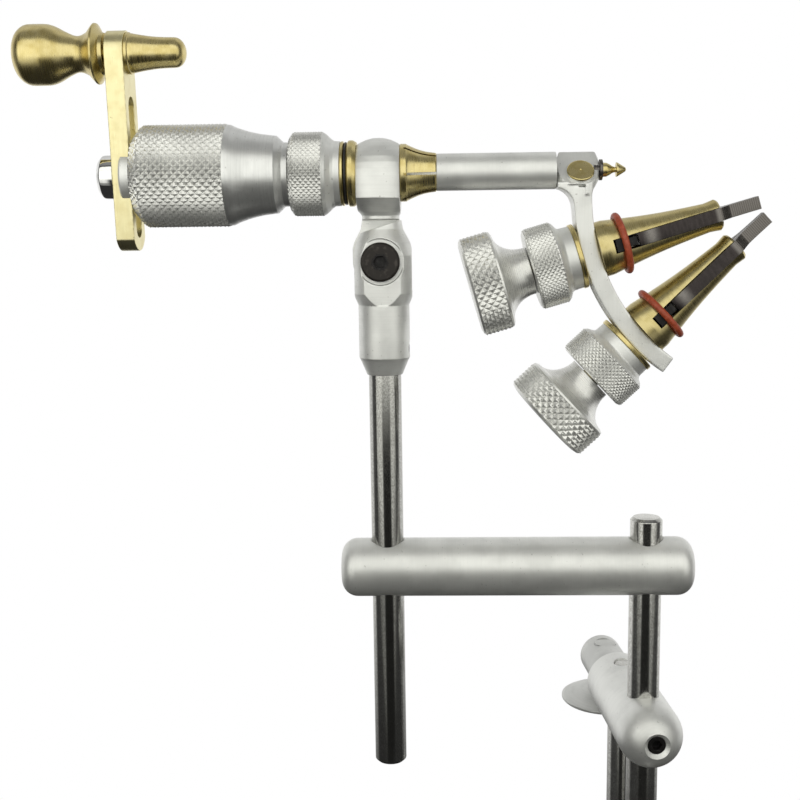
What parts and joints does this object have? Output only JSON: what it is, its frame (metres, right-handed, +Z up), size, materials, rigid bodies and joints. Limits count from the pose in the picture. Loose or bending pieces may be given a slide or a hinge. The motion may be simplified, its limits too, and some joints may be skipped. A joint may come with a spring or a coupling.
{
  "type": "fly tying vise",
  "caption": "Rotary fly tying vise on an offset bar and table clamp, with a crank, a tilting head and curved-arm collet jaws.",
  "frame": {"origin": "middle of the flat face of the clamp's upper pad, which rests on the table top", "axes": "+Z up along the posts, +X along the spindle from the crank to the jaws, the front is at -Y"},
  "size_m": [0.2247, 0.0855, 0.3476],
  "materials": {
    "gold": "matte gold, satin turned",
    "pale_gold": "pale satin brass",
    "chrome": "polished",
    "satin_aluminium": "satin turned",
    "rod_steel": "ground",
    "black_oxide": "black oxide, semi gloss",
    "jaw_steel": "dark hardened, cross ground",
    "red_rubber": "matte red rubber",
    "black_rubber": "matte black rubber"
  },
  "bodies": {
    "clamp": {"clamp_upper_arm": "satin_aluminium", "arm_extension": "satin_aluminium", "upper_pad": "satin_aluminium", "upper_arm_screw": "black_oxide", "support_post": "rod_steel", "guide_rod": "rod_steel"},
    "bar": {"offset_bar": "satin_aluminium", "bar_set_screws": "black_oxide"},
    "post": {"vise_post": "rod_steel"},
    "socket": {"stem_socket": "satin_aluminium", "pivot_screw": "black_oxide", "pivot_nut": "black_oxide", "socket_set_screw": "black_oxide"},
    "head": {"head_block": "satin_aluminium", "bearing_bush": "gold", "seal_ring": "black_rubber", "thin_ring": "gold"},
    "spindle": {"spindle": "rod_steel", "drive_hub": "satin_aluminium", "clamp_button": "chrome", "grip_sleeve": "satin_aluminium", "collet": "gold"},
    "drag": {"drag_ring": "satin_aluminium"},
    "crank": {"crank_bar": "pale_gold", "handle_pin": "gold"},
    "handle": {"crank_handle": "gold"},
    "jaw_arm": {"arm_tube": "satin_aluminium", "jaw_arm": "satin_aluminium", "arm_pin": "gold", "barb_tip": "gold"},
    "lower_arm": {"clamp_lower_arm": "satin_aluminium", "lower_arm_screw": "black_oxide"},
    "foot": {"clamp_foot": "satin_aluminium"},
    "screw": {"clamp_screw": "rod_steel", "clamp_knob": "satin_aluminium"},
    "jaw_1": {"jaw_1_cone": "gold", "jaw_1_washer": "gold", "jaw_1_rubber_ring": "red_rubber"},
    "jaw_1_lock": {"jaw_1_lock_ring": "satin_aluminium"},
    "jaw_1_grip": {"jaw_1_knob": "satin_aluminium"},
    "jaw_1_draw": {"jaw_1_drawbar": "black_oxide", "jaw_1_heel": "black_oxide", "jaw_1_strip_front": "jaw_steel", "jaw_1_strip_rear": "jaw_steel"},
    "jaw_2": {"jaw_2_cone": "gold", "jaw_2_washer": "gold", "jaw_2_rubber_ring": "red_rubber"},
    "jaw_2_lock": {"jaw_2_lock_ring": "satin_aluminium"},
    "jaw_2_grip": {"jaw_2_knob": "satin_aluminium"},
    "jaw_2_draw": {"jaw_2_drawbar": "black_oxide", "jaw_2_heel": "black_oxide", "jaw_2_strip_front": "jaw_steel", "jaw_2_strip_rear": "jaw_steel"}
  },
  "joints": [
    {"name": "bar_swing", "type": "hinge", "parent": "clamp", "child": "bar", "pos_m": [0.00453, -0.0518, 0.0666], "axis": [0, 0, 1], "range_deg": [-60, 60]},
    {"name": "post_height", "type": "slide", "parent": "bar", "child": "post", "axis": [0, 0, 1], "range_m": [-0.015, 0.04]},
    {"name": "head_swivel", "type": "hinge", "parent": "post", "child": "socket", "pos_m": [-0.07647, -0.0518, 0.1385], "axis": [0, 0, 1], "range_deg": [-120, 120]},
    {"name": "head_tilt", "type": "hinge", "parent": "socket", "child": "head", "pos_m": [-0.07704, -0.0518, 0.1622], "axis": [0, 1, 0], "range_deg": [-16, 0]},
    {"name": "spindle_turn", "type": "hinge", "parent": "head", "child": "spindle", "pos_m": [-0.07647, -0.0518, 0.1885], "axis": [1, 0, 0], "continuous": true},
    {"name": "drag_turn", "type": "hinge", "parent": "head", "child": "drag", "pos_m": [-0.09647, -0.0518, 0.1885], "axis": [1, 0, 0], "range_deg": [-90, 90]},
    {"name": "crank_slide", "type": "slide", "parent": "spindle", "child": "crank", "axis": [0, -0.0698, 0.9976], "range_m": [-0.012, 0.012]},
    {"name": "handle_spin", "type": "hinge", "parent": "crank", "child": "handle", "pos_m": [-0.17147, -0.05431, 0.22431], "axis": [1, 0, 0], "continuous": true},
    {"name": "arm_reach", "type": "slide", "parent": "spindle", "child": "jaw_arm", "axis": [1, 0, 0], "range_m": [0, 0.006]},
    {"name": "jaw_1_swing", "type": "hinge", "parent": "jaw_arm", "child": "jaw_1", "pos_m": [0.04653, -0.0518, 0.1812], "axis": [0, 1, 0], "range_deg": [0, 4]},
    {"name": "jaw_1_lock_turn", "type": "hinge", "parent": "jaw_1", "child": "jaw_1_lock", "pos_m": [0.04653, -0.0518, 0.1812], "axis": [0.9617, 0, 0.274], "range_deg": [0, 120]},
    {"name": "jaw_1_knob_turn", "type": "hinge", "parent": "jaw_1", "child": "jaw_1_grip", "pos_m": [0.04653, -0.0518, 0.1812], "axis": [0.9617, 0, 0.274], "range_deg": [0, 540]},
    {"name": "jaw_1_draw", "type": "slide", "parent": "jaw_1", "child": "jaw_1_draw", "axis": [0.9617, 0, 0.274], "range_m": [0, 0.0015]},
    {"name": "jaw_2_swing", "type": "hinge", "parent": "jaw_arm", "child": "jaw_2", "pos_m": [0.04653, -0.0518, 0.1812], "axis": [0, 1, 0], "range_deg": [-4, 0]},
    {"name": "jaw_2_lock_turn", "type": "hinge", "parent": "jaw_2", "child": "jaw_2_lock", "pos_m": [0.04653, -0.0518, 0.1812], "axis": [0.7349, 0, 0.6782], "range_deg": [0, 120]},
    {"name": "jaw_2_knob_turn", "type": "hinge", "parent": "jaw_2", "child": "jaw_2_grip", "pos_m": [0.04653, -0.0518, 0.1812], "axis": [0.7349, 0, 0.6782], "range_deg": [0, 540]},
    {"name": "jaw_2_draw", "type": "slide", "parent": "jaw_2", "child": "jaw_2_draw", "axis": [0.7349, 0, 0.6782], "range_m": [0, 0.0015]},
    {"name": "lower_arm_slide", "type": "slide", "parent": "clamp", "child": "lower_arm", "axis": [0, 0, 1], "range_m": [-0.012, 0.01]},
    {"name": "foot_rise", "type": "slide", "parent": "lower_arm", "child": "foot", "axis": [0, 0, 1], "range_m": [-0.004, 0.024]},
    {"name": "screw_turn", "type": "hinge", "parent": "foot", "child": "screw", "pos_m": [0, 0, -0.08], "axis": [0, 0, 1], "range_deg": [-1152, 6912]}
  ],
  "couplings": [
    {"joint": "screw_turn", "follows": "foot_rise", "rad_per_m": 5026.5},
    {"joint": "jaw_1_knob_turn", "follows": "jaw_1_draw", "rad_per_m": 6283.1},
    {"joint": "jaw_2_knob_turn", "follows": "jaw_2_draw", "rad_per_m": 6283.1}
  ]
}
